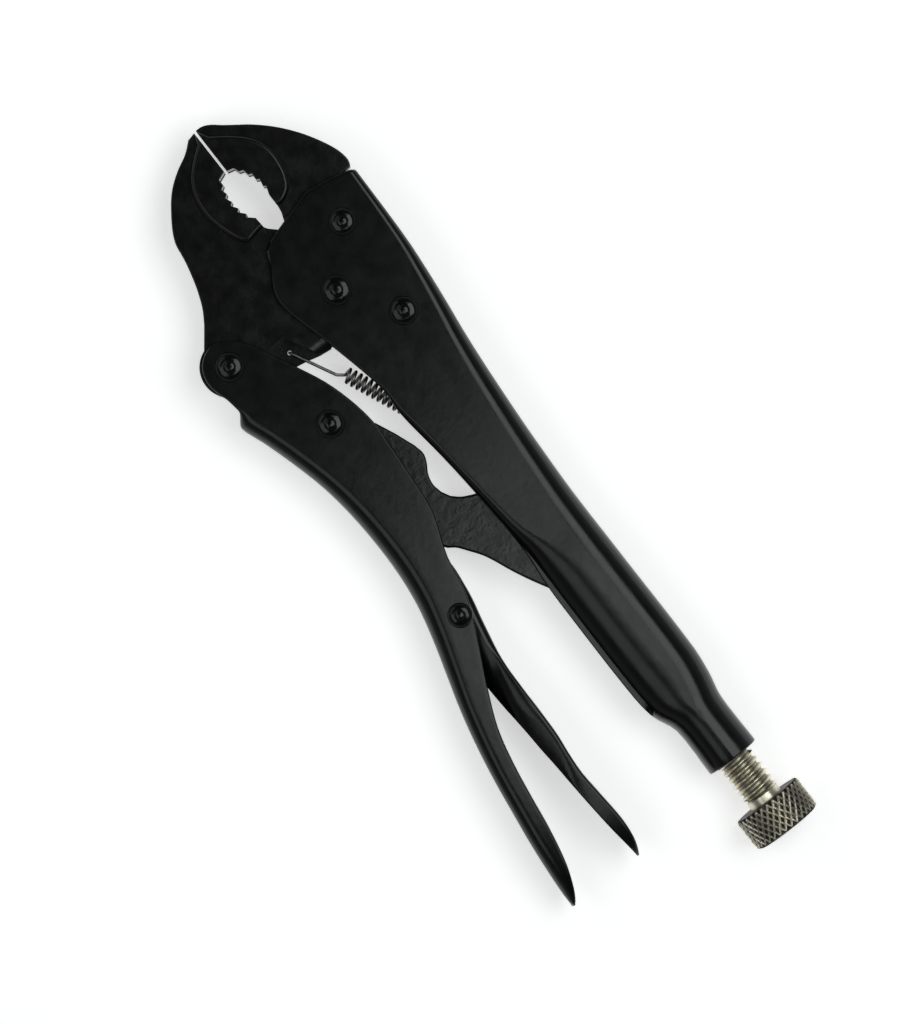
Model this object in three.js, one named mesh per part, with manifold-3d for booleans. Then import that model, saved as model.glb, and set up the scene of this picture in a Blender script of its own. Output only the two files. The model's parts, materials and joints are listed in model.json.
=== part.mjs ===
// Locking pliers with curved jaws, nominal length 250 mm.
// A pressed sheet handle carries a riveted jaw and, at its rear, an adjusting screw.
// A second sheet handle closes the moving jaw through a toggle link that bears on the screw.
// Millimetres. While it is built, the main pivot is the origin, the knob is towards +X,
// the back of the fixed handle towards +Y, and the plane of the jaws is z = 0.
import * as THREE from 'three'
import { mergeVertices } from 'three/addons/utils/BufferGeometryUtils.js'
import Module from 'manifold-3d'

const wasm = await Module()
wasm.setup()

// Overall sizes
const jawReach = 57.3 // jaw tips, ahead of the main pivot
const gripEnd = 170 // rear tip of the moving handle, behind the main pivot
const leverEnd = 170 // rear tip of the release lever, behind the main pivot
const barrelStart = 96 // where the fixed handle's sheet is rolled into a barrel
const barrelLength = 47
const shoulderLength = 7 // taper from the barrel down to the threaded neck
const neckLength = 15

// Stock
const handleSheet = 2.2
const leverSheet = 1.8
const leverTailWidth = 14
const jawThickness = 9
const padRise = 1.5 // how far the jaw pads stand out of each side of the jaws
const linkThickness = 7
const springWire = 0.9
const springDiameter = 4.8
const springLength = 44

// Turned and threaded pieces
const screwDiameter = 10.6
const screwNeckDiameter = 9.8
const spigotDiameter = 6 // end of the screw that the knob turns on
const knobDiameter = 20.4
const knobLength = 9.6
const knobGap = 14.6 // from the handle's rear end to the knob

// Clearances
const sideGap = 0.3 // between a sheet's inside and what it grips
const seatGap = 0.2 // under rivet heads and round riveted shanks
const runningGap = 0.1 // round a shank that something turns on
const partingGap = 0.4 // between the two jaws behind the mouth
const foldGap = 1.2 // between the fixed jaw's tang and the back of the handle above it
const threadGap = 0.15 // round the screw in the neck of the handle
const togglePlay = 2.8 // between the link's free end and the screw's tip, jaws closed

// Pivots: place, shank and head
const mainPivot = { x: 0, y: 0, shank: 6, head: 8.4 }
const jawPivot = { x: -1.4, y: -35.4, shank: 5.6, head: 8 }
const linkPivot = { x: 27.3, y: -23.5, shank: 5.6, head: 7.8 }
const leverPivot = { x: 89.3, y: -27.7, shank: 4.6, head: 6.9 }
const frontRivet = { x: -13.6, y: 12.5, shank: 5.6, head: 7.6 }
const rearRivet = { x: 15.4, y: 10.8, shank: 5.6, head: 7.9 }

// Sizes that follow from those
const gripHalf = jawThickness / 2 + sideGap
const sheetHalf = gripHalf + handleSheet
const shoulderStart = barrelStart + barrelLength
const neckStart = shoulderStart + shoulderLength
const handleEnd = neckStart + neckLength
const screwRadius = screwDiameter / 2
const neckRadius = screwRadius + threadGap + handleSheet
const screwY = 6.75
const bossRadius = mainPivot.shank / 2 + 5
const linkEndRadius = 4.5
const linkEnd = { x: 105.5, y: screwY }
const screwTip = linkEnd.x + linkEndRadius + togglePlay
const knobStart = handleEnd + knobGap
const slotHalf = linkThickness / 2 + sideGap
const roundSides = 20

// ---------------------------------------------------------------- shapes and solids

const blackSteel = (roughness) => new THREE.MeshStandardMaterial({ color: 0x17181b, roughness, metalness: 0.4 })
const platedSteel = (roughness) => new THREE.MeshStandardMaterial({ color: 0x9c978a, roughness, metalness: 1 })

function solidOf(geometry) {
  const bare = geometry.clone()
  bare.deleteAttribute('normal')
  bare.deleteAttribute('uv')
  const merged = mergeVertices(bare, 1e-4)
  const vertProperties = new Float32Array(merged.attributes.position.array)
  const triVerts = new Uint32Array(merged.index.array)
  return new wasm.Manifold(new wasm.Mesh({ numProp: 3, vertProperties, triVerts }))
}

function geometryOf(solid) {
  const mesh = solid.getMesh()
  const geometry = new THREE.BufferGeometry()
  geometry.setAttribute('position', new THREE.BufferAttribute(new Float32Array(mesh.vertProperties), 3))
  geometry.setIndex(new THREE.BufferAttribute(new Uint32Array(mesh.triVerts), 1))
  return geometry
}

// A flat piece cut to an outline, centred on z = 0, its edges broken by a small chamfer.
function plate(shape, thickness, chamfer = 0, curveSegments = 5) {
  const depth = thickness - 2 * chamfer
  const geometry = new THREE.ExtrudeGeometry(shape, {
    depth,
    curveSegments,
    bevelEnabled: chamfer > 0,
    bevelSize: chamfer,
    bevelOffset: -chamfer,
    bevelThickness: chamfer,
    bevelSegments: 1,
  })
  return solidOf(geometry.translate(0, 0, -depth / 2))
}

// A round bar along Z through a pivot, as a cutter for its bore.
function bore(pivot, gap, length = 60) {
  const bar = new THREE.CylinderGeometry(pivot.shank / 2 + gap, pivot.shank / 2 + gap, length, roundSides)
  return solidOf(bar.rotateX(Math.PI / 2).translate(pivot.x, pivot.y, 0))
}

function block(x, y, z) {
  const size = [x, y, z].map(([low, high]) => high - low)
  const middle = [x, y, z].map(([low, high]) => (low + high) / 2)
  return solidOf(new THREE.BoxGeometry(...size).translate(...middle))
}

const toPoints = (rows) => rows.map(([x, y]) => new THREE.Vector2(x, y))

// Smooth values along X through rows of [x, value, value, ...].
function along(rows) {
  const width = rows[0].length - 1
  const places = rows.map((row) => row[0])
  const values = rows.flatMap((row) => row.slice(1))
  const line = new THREE.CubicInterpolant(places, values, width, new Float32Array(width))
  return (x) => Array.from(line.evaluate(x))
}

// A rounded rectangle across X, with one radius for its upper and one for its lower corners.
function ring(x, top, bottom, halfWidth, topRadius, bottomRadius) {
  const steps = 4
  const most = Math.min(halfWidth, (top - bottom) / 2) - 0.05
  const upper = Math.min(topRadius, most)
  const lower = Math.min(bottomRadius, most)
  const corners = [
    [halfWidth - upper, top - upper, upper, 0],
    [-halfWidth + upper, top - upper, upper, 1],
    [-halfWidth + lower, bottom + lower, lower, 2],
    [halfWidth - lower, bottom + lower, lower, 3],
  ]
  const points = []
  for (const [z, y, radius, quarter] of corners) {
    for (let step = 0; step <= steps; step += 1) {
      const angle = (quarter + step / steps) * (Math.PI / 2)
      points.push(new THREE.Vector3(x, y + radius * Math.sin(angle), z + radius * Math.cos(angle)))
    }
  }
  return points
}

// A solid skin over a row of rings that run towards +X, closed at both ends.
function loft(rings) {
  const count = rings[0].length
  const positions = rings.flat().flatMap((point) => point.toArray())
  const index = []
  for (let r = 0; r < rings.length - 1; r += 1) {
    for (let p = 0; p < count; p += 1) {
      const a = r * count + p
      const b = r * count + ((p + 1) % count)
      index.push(a, a + count, b, b, a + count, b + count)
    }
  }
  const last = (rings.length - 1) * count
  for (let p = 1; p < count - 1; p += 1) {
    index.push(0, p, p + 1)
    index.push(last, last + p + 1, last + p)
  }
  const geometry = new THREE.BufferGeometry()
  geometry.setAttribute('position', new THREE.Float32BufferAttribute(positions, 3))
  geometry.setIndex(index)
  return solidOf(geometry)
}

// Places along X, from start to end, about one step apart.
function places(start, end, step) {
  const count = Math.ceil((end - start) / step)
  return Array.from({ length: count + 1 }, (_, i) => start + ((end - start) * i) / count)
}

// Saw teeth along the arc of a jaw's mouth: each root is followed by its crest.
function teeth(start, end, bulge, count, depth) {
  const run = new THREE.Vector2(end[0] - start[0], end[1] - start[1])
  const side = new THREE.Vector2(-run.y, run.x).normalize()
  const points = []
  for (let tooth = 0; tooth < count; tooth += 1) {
    for (const [share, sink] of [[0.3, depth], [1, 0]]) {
      const t = (tooth + share) / count
      const rise = bulge * 4 * t * (1 - t) + sink * Math.sign(bulge)
      points.push([start[0] + run.x * t + side.x * rise, start[1] + run.y * t + side.y * rise])
    }
  }
  return points
}

// ---------------------------------------------------------------- fixed handle

// Each row: x, top, bottom, half width, upper and lower corner radius of the sheet's outside.
const handleRows = [
  [-30, 24, -18, sheetHalf, 1.6, 2],
  [-20, 24, -18, sheetHalf, 1.7, 2],
  [0, 23.5, -17, sheetHalf, 2.4, 2],
  [10, 22.7, -14, sheetHalf, 3, 2],
  [20, 21.6, -11, sheetHalf, 3.7, 2],
  [30, 20.3, -8.6, sheetHalf, 4.3, 2],
  [40, 19.3, -6.7, sheetHalf, 4.8, 2],
  [50, 18.5, -5.5, sheetHalf, 5.2, 2],
  [60, 17.8, -4.6, sheetHalf, 5.6, 2.2],
  [70, 17.3, -3.9, sheetHalf, 6, 2.6],
  [80, 16.9, -3.4, sheetHalf + 0.1, 6.4, 3.4],
  [88, 16.8, -3.4, neckRadius - 0.4, 6.6, 5.5],
  [barrelStart, 16.8, -4.2, neckRadius - 0.15, 6.8, 7.4],
  [barrelStart + 8, 16.8, -4.5, neckRadius - 0.05, 6.8, 7.5],
  [shoulderStart - 8, 16.7, -4.5, neckRadius, 7, 7.6],
  [shoulderStart, 15.8, -3.6, neckRadius, 7.4, neckRadius],
  [neckStart, screwY + neckRadius, screwY - neckRadius, neckRadius, neckRadius, neckRadius],
  [handleEnd + 2, screwY + neckRadius, screwY - neckRadius, neckRadius, neckRadius, neckRadius],
]

// Side view of the sheet: its front edge, the lower edge of its cheeks, and from there
// rearwards the whole height, where the lower edges are folded in.
function handleOutline() {
  const shape = new THREE.Shape()
  shape.moveTo(-22.4, 26)
  shape.lineTo(-22.7, 24)
  shape.lineTo(-23.4, 22.6)
  shape.splineThru(toPoints([[-24.8, 17], [-25.6, 12], [-25.9, 8.5]]))
  shape.splineThru(toPoints([[-24.5, 4.4], [-22.6, -2], [-21.3, -6.4], [-19.8, -8.5]]))
  shape.lineTo(-16, -10)
  shape.splineThru(toPoints([[-13.2, -11.9], [-10, -13.6], [-6.1, -14.2], [-1, -13.4], [5.6, -11.6]]))
  shape.splineThru(toPoints([[13, -9.8], [20, -8.2], [27, -6.6], [34, -5.5]]))
  shape.lineTo(39, -9)
  shape.lineTo(handleEnd, -9)
  shape.lineTo(handleEnd, 26)
  return shape
}

// The tab pressed down from the handle's back, which the spring hooks into, beside its wire.
const tabGap = 0.35
const springTab = { x: 75, y: 11.2, halfWidth: 2.6, below: 2.4, sheet: 2, hole: springWire + 1.1 }

function fixedHandle() {
  const section = along(handleRows)
  const stations = places(-30, handleEnd + 2, 8)
  const outside = loft(stations.map((x) => ring(x, ...section(x))))
  const inside = loft(
    stations.map((x, i) => {
      const [top, bottom, half, upper, lower] = section(x)
      const end = i === 0 ? -2 : i === stations.length - 1 ? 2 : 0
      const t = handleSheet
      return ring(x + end, top - t, bottom + t, half - t, Math.max(upper - t, 0.4), Math.max(lower - t, 0.4))
    }),
  )
  const slotEnd = new THREE.CylinderGeometry(slotHalf, slotHalf, 14, roundSides)
  const slot = block([20, shoulderStart - slotHalf], [-12, 2], [-slotHalf, slotHalf]).add(
    solidOf(slotEnd.translate(shoulderStart - slotHalf, -5, 0)),
  )
  const throat = block([-40, 38], [-30, -4], [-gripHalf, gripHalf])
  const [tabTop] = section(springTab.x)
  const tabFace = -springWire / 2 - tabGap
  const tab = block(
    [springTab.x - springTab.halfWidth, springTab.x + springTab.halfWidth],
    [springTab.y - springTab.below, tabTop - handleSheet / 2],
    [tabFace - springTab.sheet, tabFace],
  )
  const tabHole = new THREE.CylinderGeometry(springTab.hole / 2, springTab.hole / 2, 8, 12)
  const hookHole = solidOf(tabHole.rotateX(Math.PI / 2).translate(springTab.x, springTab.y, 0))
  const threadBore = new THREE.CylinderGeometry(screwRadius + threadGap, screwRadius + threadGap, 30, 48)
  const threadCut = solidOf(threadBore.rotateZ(Math.PI / 2).translate(handleEnd, screwY, 0))
  return outside
    .subtract(inside)
    .subtract(threadCut)
    .add(tab)
    .subtract(hookHole)
    .subtract(slot)
    .subtract(throat)
    .intersect(plate(handleOutline(), 40, 0, 3))
    .subtract(bore(mainPivot, seatGap))
    .subtract(bore(frontRivet, seatGap))
    .subtract(bore(rearRivet, seatGap))
}

// ---------------------------------------------------------------- jaws

const jawRoot = 23.5 // where the jaws leave the fixed handle
// A place ahead of the handle, by its share of the jaws' free length.
const ahead = (share) => -(jawRoot + share * (jawReach - jawRoot))
const onJaw = (rows) => rows.map(([share, y]) => [ahead(share), y])

const mouthLine = -3.9 // where the jaw tips meet
const upperTeeth = teeth([ahead(0.586), -3], [ahead(0.24), 1.5], 1.7, 5, 0.7)
const lowerTeeth = teeth([ahead(0.595), -5.4], [ahead(0.155), -5.2], -2.2, 6, 0.8)
const upperMouth = [...upperTeeth, ...onJaw([[0.13, 1.5], [0.07, 1.2], [0, 0.3]]), [-21.9, 0.6]]
const lowerMouth = [...lowerTeeth, ...onJaw([[0.06, -5], [0.03, -4.3]]), [-22.6, -2.3], [-21.6, -2.1]]

function fixedJawOutline() {
  const reach = bossRadius + partingGap
  const shape = new THREE.Shape()
  shape.moveTo(ahead(1), -3)
  shape.splineThru(toPoints(onJaw([[0.998, -1.6], [0.97, 0.5], [0.905, 3.2], [0.843, 6], [0.763, 9.6]])))
  shape.splineThru(toPoints(onJaw([[0.639, 14], [0.488, 18.1], [0.337, 21.2], [0.195, 23.4], [0.1, 24.1]])))
  shape.splineThru(toPoints(onJaw([[0.053, 24], [0.02, 23.4]])))
  // Behind the step the tang lies under the back of the handle, clear of its rounded folds.
  const under = along(handleRows)
  const inner = (x) => under(x)[0] - handleSheet - foldGap
  shape.lineTo(-24, inner(-22))
  shape.lineTo(-22, inner(-22))
  shape.lineTo(0, inner(0))
  shape.lineTo(rearRivet.x + 4, inner(rearRivet.x + 4))
  shape.lineTo(rearRivet.x + 6.4, inner(rearRivet.x + 6.4) - 2)
  shape.lineTo(rearRivet.x + 6, rearRivet.y - 4)
  shape.lineTo(rearRivet.x + 4, rearRivet.y - 6)
  shape.lineTo(reach * Math.cos(0.6), reach * Math.sin(0.6))
  shape.absarc(0, 0, reach, 0.6, Math.PI + 0.12, false)
  shape.lineTo(-20.5, -1.5)
  shape.lineTo(-20.8, 0.1)
  for (const [x, y] of [...upperMouth].reverse()) shape.lineTo(x, y)
  shape.lineTo(ahead(0.59), mouthLine + 0.6)
  shape.lineTo(ahead(1), mouthLine + 0.6)
  return shape
}

const springHole = { x: 5.2, y: -20.4, shank: springWire }

function movingJawOutline() {
  const shape = new THREE.Shape()
  shape.moveTo(ahead(0.993), mouthLine - 0.6)
  shape.lineTo(ahead(0.6), mouthLine - 0.6)
  for (const [x, y] of lowerMouth) shape.lineTo(x, y)
  shape.lineTo(-20.5, -1.5 - partingGap)
  const left = Math.PI + 0.16
  shape.lineTo(bossRadius * Math.cos(left), bossRadius * Math.sin(left))
  shape.absarc(0, 0, bossRadius, left, -0.5, true)
  shape.lineTo(11.4, -11)
  shape.splineThru(toPoints([[11, -14], [10, -18], [9.2, -22]]))
  const lug = 8.3
  shape.lineTo(jawPivot.x + lug, jawPivot.y + 2)
  shape.absarc(jawPivot.x, jawPivot.y, lug, 0, Math.PI + 0.35, true)
  shape.splineThru(toPoints([[-14.7, -33.9], [-18.4, -31.6], [-22.7, -29.8]]))
  shape.splineThru(toPoints(onJaw([[0.07, -28.8], [0.195, -27.7], [0.29, -27.1], [0.385, -26.6], [0.488, -25]])))
  shape.splineThru(toPoints(onJaw([[0.607, -22.3], [0.71, -19.5], [0.781, -16.8], [0.843, -13.6]])))
  shape.splineThru(toPoints(onJaw([[0.891, -10.4], [0.923, -8.8], [0.976, -6.7]])))
  return shape
}

// Each jaw's raised pad lies between its mouth and an arc, and ends short of the tip.
function fixedPadOutline() {
  const shape = new THREE.Shape()
  shape.moveTo(ahead(0.9), -2.4)
  shape.splineThru(toPoints(onJaw([[0.8, 3], [0.7, 6.6], [0.6, 8.7], [0.488, 9.6], [0.337, 9.2], [0.25, 8.3]])))
  shape.splineThru(toPoints(onJaw([[0.18, 6.8], [0.12, 4.2], [0.1, 2.4]])))
  for (const [x, y] of [...upperTeeth].reverse()) shape.lineTo(x, y + 0.15)
  shape.lineTo(ahead(0.62), mouthLine + 0.9)
  return shape
}

function movingPadOutline() {
  const shape = new THREE.Shape()
  shape.moveTo(ahead(0.9), mouthLine - 1.4)
  shape.lineTo(ahead(0.62), mouthLine - 1.4)
  for (const [x, y] of lowerTeeth) shape.lineTo(x, y - 0.15)
  shape.lineTo(ahead(0.07), -6)
  shape.splineThru(toPoints(onJaw([[0.05, -8], [0.04, -10.6], [0.1, -12.5], [0.195, -13.9], [0.29, -14.9]])))
  shape.splineThru(toPoints(onJaw([[0.385, -15.5], [0.488, -15.5], [0.6, -14.8], [0.72, -12.6], [0.82, -9.2]])))
  return shape
}

function padOf(shape) {
  return plate(shape, jawThickness + 2 * padRise, 0)
}

function fixedJaw() {
  return plate(fixedJawOutline(), jawThickness)
    .add(padOf(fixedPadOutline()))
    .subtract(bore(frontRivet, seatGap))
    .subtract(bore(rearRivet, seatGap))
}

function movingJaw() {
  const half = jawThickness / 2
  // The tail's rear edge is sloped off on both sides.
  const slope = new THREE.Shape(toPoints([[7.4, half + 1], [7.4, half], [13, 0.8], [13, half + 1]]))
  const wedge = new THREE.ExtrudeGeometry(slope, { depth: 14, bevelEnabled: false }).rotateX(Math.PI / 2)
  const upperWedge = solidOf(wedge.clone().translate(0, -8.5, 0))
  const lowerWedge = solidOf(wedge.rotateX(Math.PI).translate(0, -22.5, 0))
  // The spring's wire lies in a pocket and its end goes down through a hole.
  const pocket = new THREE.Shape(
    toPoints([[1.2, -23.4], [0.9, -19], [3.4, -17.9], [7.4, -15.8], [14, -12], [14, -21], [7, -23]]),
  )
  const pocketCut = new THREE.ExtrudeGeometry(pocket, { depth: half + 2, bevelEnabled: false })
  return plate(movingJawOutline(), jawThickness)
    .add(padOf(movingPadOutline()))
    .subtract(upperWedge)
    .subtract(lowerWedge)
    .subtract(solidOf(pocketCut.translate(0, 0, -springWire / 2 - sideGap)))
    .subtract(bore(springHole, 0.5))
    .subtract(bore(mainPivot, runningGap))
    .subtract(bore(jawPivot, runningGap))
}

// ---------------------------------------------------------------- moving handle

const tailStart = 100 // behind this the grip and the release lever stretch with their lengths
const gripTail = (share) => tailStart + share * (gripEnd - tailStart)
const leverTail = (share) => tailStart + share * (leverEnd - tailStart)
const gripTop = -8 // above the open side everywhere

// Each row: x, top, back, half width, inner and outer corner radius.
const gripRows = [
  [9, gripTop, -41.3, sheetHalf, 1, 3.4],
  [11, gripTop, -42.7, sheetHalf, 1, 4],
  [13, gripTop, -43.2, sheetHalf, 1, 4.4],
  [15, gripTop, -42.9, sheetHalf, 1, 4.6],
  [20, gripTop, -41, sheetHalf, 1, 4.6],
  [30, gripTop, -38, sheetHalf, 1, 4.6],
  [40, gripTop, -35.5, sheetHalf, 1, 4.7],
  [50, gripTop, -34.2, sheetHalf, 1, 4.9],
  [60, gripTop, -33.8, sheetHalf, 1, 5],
  [70, gripTop, -34, sheetHalf, 1, 5],
  [80, gripTop, -35.2, sheetHalf, 1, 4.9],
  [90, gripTop, -37.6, sheetHalf, 1, 4.6],
  [tailStart, gripTop, -40.6, sheetHalf, 1, 4.3],
  [gripTail(0.143), gripTop, -43.6, sheetHalf, 1, 4],
  [gripTail(0.286), gripTop, -46, sheetHalf, 1, 3.8],
  [gripTail(0.429), gripTop, -47.9, sheetHalf, 1, 3.6],
  [gripTail(0.571), gripTop, -49.4, sheetHalf, 1, 3.6],
  [gripTail(0.714), gripTop, -50.8, sheetHalf - 0.2, 1, 3.6],
  [gripTail(0.857), gripTop, -51.8, sheetHalf - 1, 1, 3.6],
  [gripTail(0.943), gripTop, -52.2, sheetHalf - 2.2, 1, 3.4],
  [gripTail(1), gripTop, -52.3, sheetHalf - 4, 1, 2.8],
]

const earRadius = 7.5

function gripOutline() {
  const shape = new THREE.Shape()
  shape.moveTo(0, -55)
  shape.lineTo(gripEnd + 1, -55)
  shape.lineTo(gripEnd + 1, -51.4)
  shape.splineThru(
    toPoints([
      [gripTail(0.985), -50.4],
      [gripTail(0.943), -48.7],
      [gripTail(0.857), -46.4],
      [gripTail(0.714), -44.2],
      [gripTail(0.571), -42.7],
      [gripTail(0.429), -41],
      [gripTail(0.286), -38.5],
      [gripTail(0.143), -34.2],
      [tailStart, -29],
    ]),
  )
  shape.splineThru(toPoints([[94, -26.3], [88.5, -23.8], [84, -22.3], [79, -21.4], [75, -20.7], [71, -19.3]]))
  shape.splineThru(toPoints([[66, -17.3], [61, -15.9], [50, -14.9], [40, -14.2], [34.9, -13.9], [27, -14.8]]))
  shape.splineThru(toPoints([[18, -17.3], [9.6, -21.2], [0, -26], [-5.3, -28.9]]))
  return shape
}

function earOutline() {
  const shape = new THREE.Shape()
  shape.moveTo(-5.3, -28.9)
  shape.lineTo(jawPivot.x - earRadius, jawPivot.y + 1)
  shape.absarc(jawPivot.x, jawPivot.y, earRadius, Math.PI, 1.62 * Math.PI, false)
  shape.splineThru(toPoints([[5.2, -41.2], [8.6, -40.6], [12, -39.2], [18, -37.3]]))
  shape.lineTo(18, -17.3)
  shape.splineThru(toPoints([[9.6, -21.2], [0, -26], [-5.3, -28.9]]))
  return shape
}

function movingHandle() {
  const section = along(gripRows)
  const stations = [9, 10.4, 12, 14, 16, ...places(20, gripTail(0.857), 8), ...[0.9, 0.94, 0.975, 1].map(gripTail)]
  const outside = loft(stations.map((x) => ring(x, ...section(x))))
  const insideStations = stations.filter((x) => x < gripEnd - 2 * handleSheet)
  const inside = loft(
    insideStations.map((x, i) => {
      const [top, back, half, upper, lower] = section(x)
      const t = handleSheet
      return ring(i === 0 ? x - 2 : x, top + 4, back + t, half - t, upper, Math.max(lower - t, 0.4))
    }),
  )
  const ears = plate(earOutline(), 2 * sheetHalf)
  return outside
    .add(ears)
    .subtract(inside)
    .subtract(block([-20, 10], [-50, 0], [-gripHalf, gripHalf]))
    .intersect(plate(gripOutline(), 40, 0, 3).add(plate(earOutline(), 40)))
    .subtract(bore(jawPivot, seatGap))
    .subtract(bore(linkPivot, seatGap))
    .subtract(bore(leverPivot, seatGap))
}

// ---------------------------------------------------------------- toggle link

function toggleLink() {
  const shape = new THREE.Shape()
  shape.moveTo(34.4, -13.8)
  shape.absarc(linkPivot.x, linkPivot.y, 7, 0.25 * Math.PI, 1.6 * Math.PI, false)
  shape.splineThru(toPoints([[42, -29.2], [56, -26.4], [66, -22.6], [72.5, -19.6]]))
  shape.splineThru(toPoints([[74.2, -17.3], [76.8, -15.5], [81.1, -12.6], [89.6, -8.9], [96.5, -5.4], [101, -2.6]]))
  shape.lineTo(linkEnd.x + linkEndRadius * Math.cos(-1.1), linkEnd.y + linkEndRadius * Math.sin(-1.1))
  shape.absarc(linkEnd.x, linkEnd.y, linkEndRadius, -1.1, 0.56 * Math.PI, false)
  shape.splineThru(toPoints([[96, 10], [84, 6.8], [74, 3.8], [68.6, 0.8], [65.6, -5.3]]))
  shape.splineThru(toPoints([[64.3, -7.8], [62.4, -9.9], [60, -11.2], [57, -11.7], [54, -11]]))
  shape.splineThru(toPoints([[51.5, -9.5], [48.9, -8.6], [45.6, -9.2], [40, -11.3], [34.4, -13.8]]))
  return plate(shape, linkThickness, 0.6, 4).subtract(bore(linkPivot, runningGap))
}

// ---------------------------------------------------------------- release lever

// The lever is narrow between the moving handle's cheeks and flares behind them.
const leverHalf = gripHalf - sideGap
const leverTailHalf = leverTailWidth / 2

// Each row: x, top, lower edge of the cheeks, half width.
const leverRows = [
  [75, -19.4, -21.4, leverHalf],
  [78, -20.2, -24.5, leverHalf],
  [82, -21.1, -29, leverHalf],
  [88, -22.2, -32, leverHalf],
  [93, -23.6, -32.6, leverHalf],
  [tailStart, -25, -33, leverHalf],
  [leverTail(0.06), -25.8, -33.5, leverHalf],
  [leverTail(0.17), -26.3, -33.9, leverHalf],
  [leverTail(0.25), -26.5, -33.6, leverHalf],
  [leverTail(0.34), -26.6, -33.2, leverHalf + 1.2],
  [leverTail(0.43), -26.7, -32.9, leverTailHalf],
  [leverTail(0.5), -27.3, -32.5, leverTailHalf],
  [leverTail(0.57), -27.8, -32.3, leverTailHalf],
  [leverTail(0.71), -27.5, -31.7, leverTailHalf],
  [leverTail(0.85), -27, -31, leverTailHalf - 0.3],
  [leverTail(0.93), -27.4, -30.4, leverTailHalf - 1.4],
  [leverTail(0.97), -28.2, -30, leverTailHalf - 2.9],
  [leverTail(1), -29.2, -29.9, leverTailHalf - 5],
]

function releaseLever() {
  const section = along(leverRows)
  const stations = [...places(75, leverTail(0.85), 5), ...[0.91, 0.95, 0.98, 1].map(leverTail)]
  const outside = loft(
    stations.map((x) => {
      const [top, lower, half] = section(x)
      return ring(x, top, lower, half, 1.9, 0.3)
    }),
  )
  const hollow = stations.filter((x) => x > 80 && x < leverTail(0.9))
  const inside = loft(
    hollow.map((x) => {
      const [top, lower, half] = section(x)
      return ring(x, top - leverSheet, lower - 2, half - leverSheet, 0.5, 0.3)
    }),
  )
  return outside.subtract(inside).subtract(bore(leverPivot, runningGap))
}

// ---------------------------------------------------------------- rivets, screw and knob

// A rivet through both cheeks, with a low domed head on each side.
function rivetGeometry(pivot, seat = sheetHalf + seatGap) {
  const shank = pivot.shank / 2
  const head = pivot.head / 2
  const dome = [[head, 0], [head, 0.6], [head * 0.86, 1.1], [head * 0.5, 1.55], [0, 1.7]]
  const upper = dome.map(([radius, rise]) => new THREE.Vector2(radius, seat + rise))
  const lower = dome.map(([radius, rise]) => new THREE.Vector2(radius, -seat - rise)).reverse()
  return new THREE.LatheGeometry(
    [...lower, new THREE.Vector2(shank, -seat), new THREE.Vector2(shank, seat), ...upper],
    roundSides,
  )
}

function screwGeometry() {
  const threadEnd = knobStart - 2
  const spigot = spigotDiameter / 2
  return new THREE.LatheGeometry(
    toPoints([
      [0, screwTip],
      [screwRadius - 1.6, screwTip],
      [screwRadius, screwTip + 1.6],
      [screwRadius, threadEnd],
      [screwNeckDiameter / 2, threadEnd + 0.4],
      [screwNeckDiameter / 2, knobStart - 0.3],
      [spigot, knobStart - 0.3],
      [spigot, knobStart + knobLength - 3.6],
      [0, knobStart + knobLength - 3.6],
    ]),
    roundSides,
  )
}

function knobGeometry() {
  const hole = spigotDiameter / 2 + runningGap
  const rim = knobDiameter / 2
  const end = knobStart + knobLength
  return new THREE.LatheGeometry(
    toPoints([
      [0, end - 3.3],
      [hole, end - 3.3],
      [hole, knobStart],
      [rim - 0.5, knobStart],
      [rim, knobStart + 0.5],
      [rim, end - 1.2],
      [rim - 1.2, end],
      [0, end],
    ]),
    2 * roundSides,
  )
}

// ---------------------------------------------------------------- spring

const springFront = { x: 19, y: -12 }
const springTilt = 0.3927

// The coil's envelope, with the wire that runs on from each end and turns down into its hole.
function tensionSpring() {
  const cos = Math.cos(springTilt)
  const sin = Math.sin(springTilt)
  const rear = { x: springFront.x + springLength * cos, y: springFront.y + springLength * sin }
  const coil = new THREE.CylinderGeometry(springDiameter / 2, springDiameter / 2, springLength, 16)
  coil.rotateZ(-Math.PI / 2 + springTilt)
  coil.translate((springFront.x + rear.x) / 2, (springFront.y + rear.y) / 2, 0)
  const hook = (from, to, depth) => {
    const path = new THREE.CurvePath()
    const start = new THREE.Vector3(from.x, from.y, 0)
    const bend = new THREE.Vector3(to.x, to.y, 0)
    const before = bend.clone().lerp(start, 1.2 / bend.distanceTo(start))
    path.add(new THREE.LineCurve3(start, before))
    path.add(new THREE.QuadraticBezierCurve3(before, bend, new THREE.Vector3(to.x, to.y, -1.2)))
    path.add(new THREE.LineCurve3(new THREE.Vector3(to.x, to.y, -1.2), new THREE.Vector3(to.x, to.y, -depth)))
    const section = new THREE.Shape().absarc(0, 0, springWire / 2, 0, 2 * Math.PI)
    const settings = { steps: 16, curveSegments: 4, extrudePath: path, bevelEnabled: false }
    return solidOf(new THREE.ExtrudeGeometry(section, settings))
  }
  const inFront = { x: springFront.x + 1, y: springFront.y - 1.2 }
  const inRear = { x: rear.x - 1, y: rear.y }
  return solidOf(coil).add(hook(inFront, springHole, 3.2)).add(hook(inRear, springTab, 3.2))
}

// ---------------------------------------------------------------- assembly

const pliers = new THREE.Group()

function place(parent, name, geometry, material) {
  const mesh = new THREE.Mesh(geometry, material)
  mesh.name = name
  parent.add(mesh)
  return mesh
}

const fixedSide = new THREE.Group()
const movingSide = new THREE.Group()
const adjuster = new THREE.Group()
pliers.add(fixedSide, movingSide, adjuster)

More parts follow.
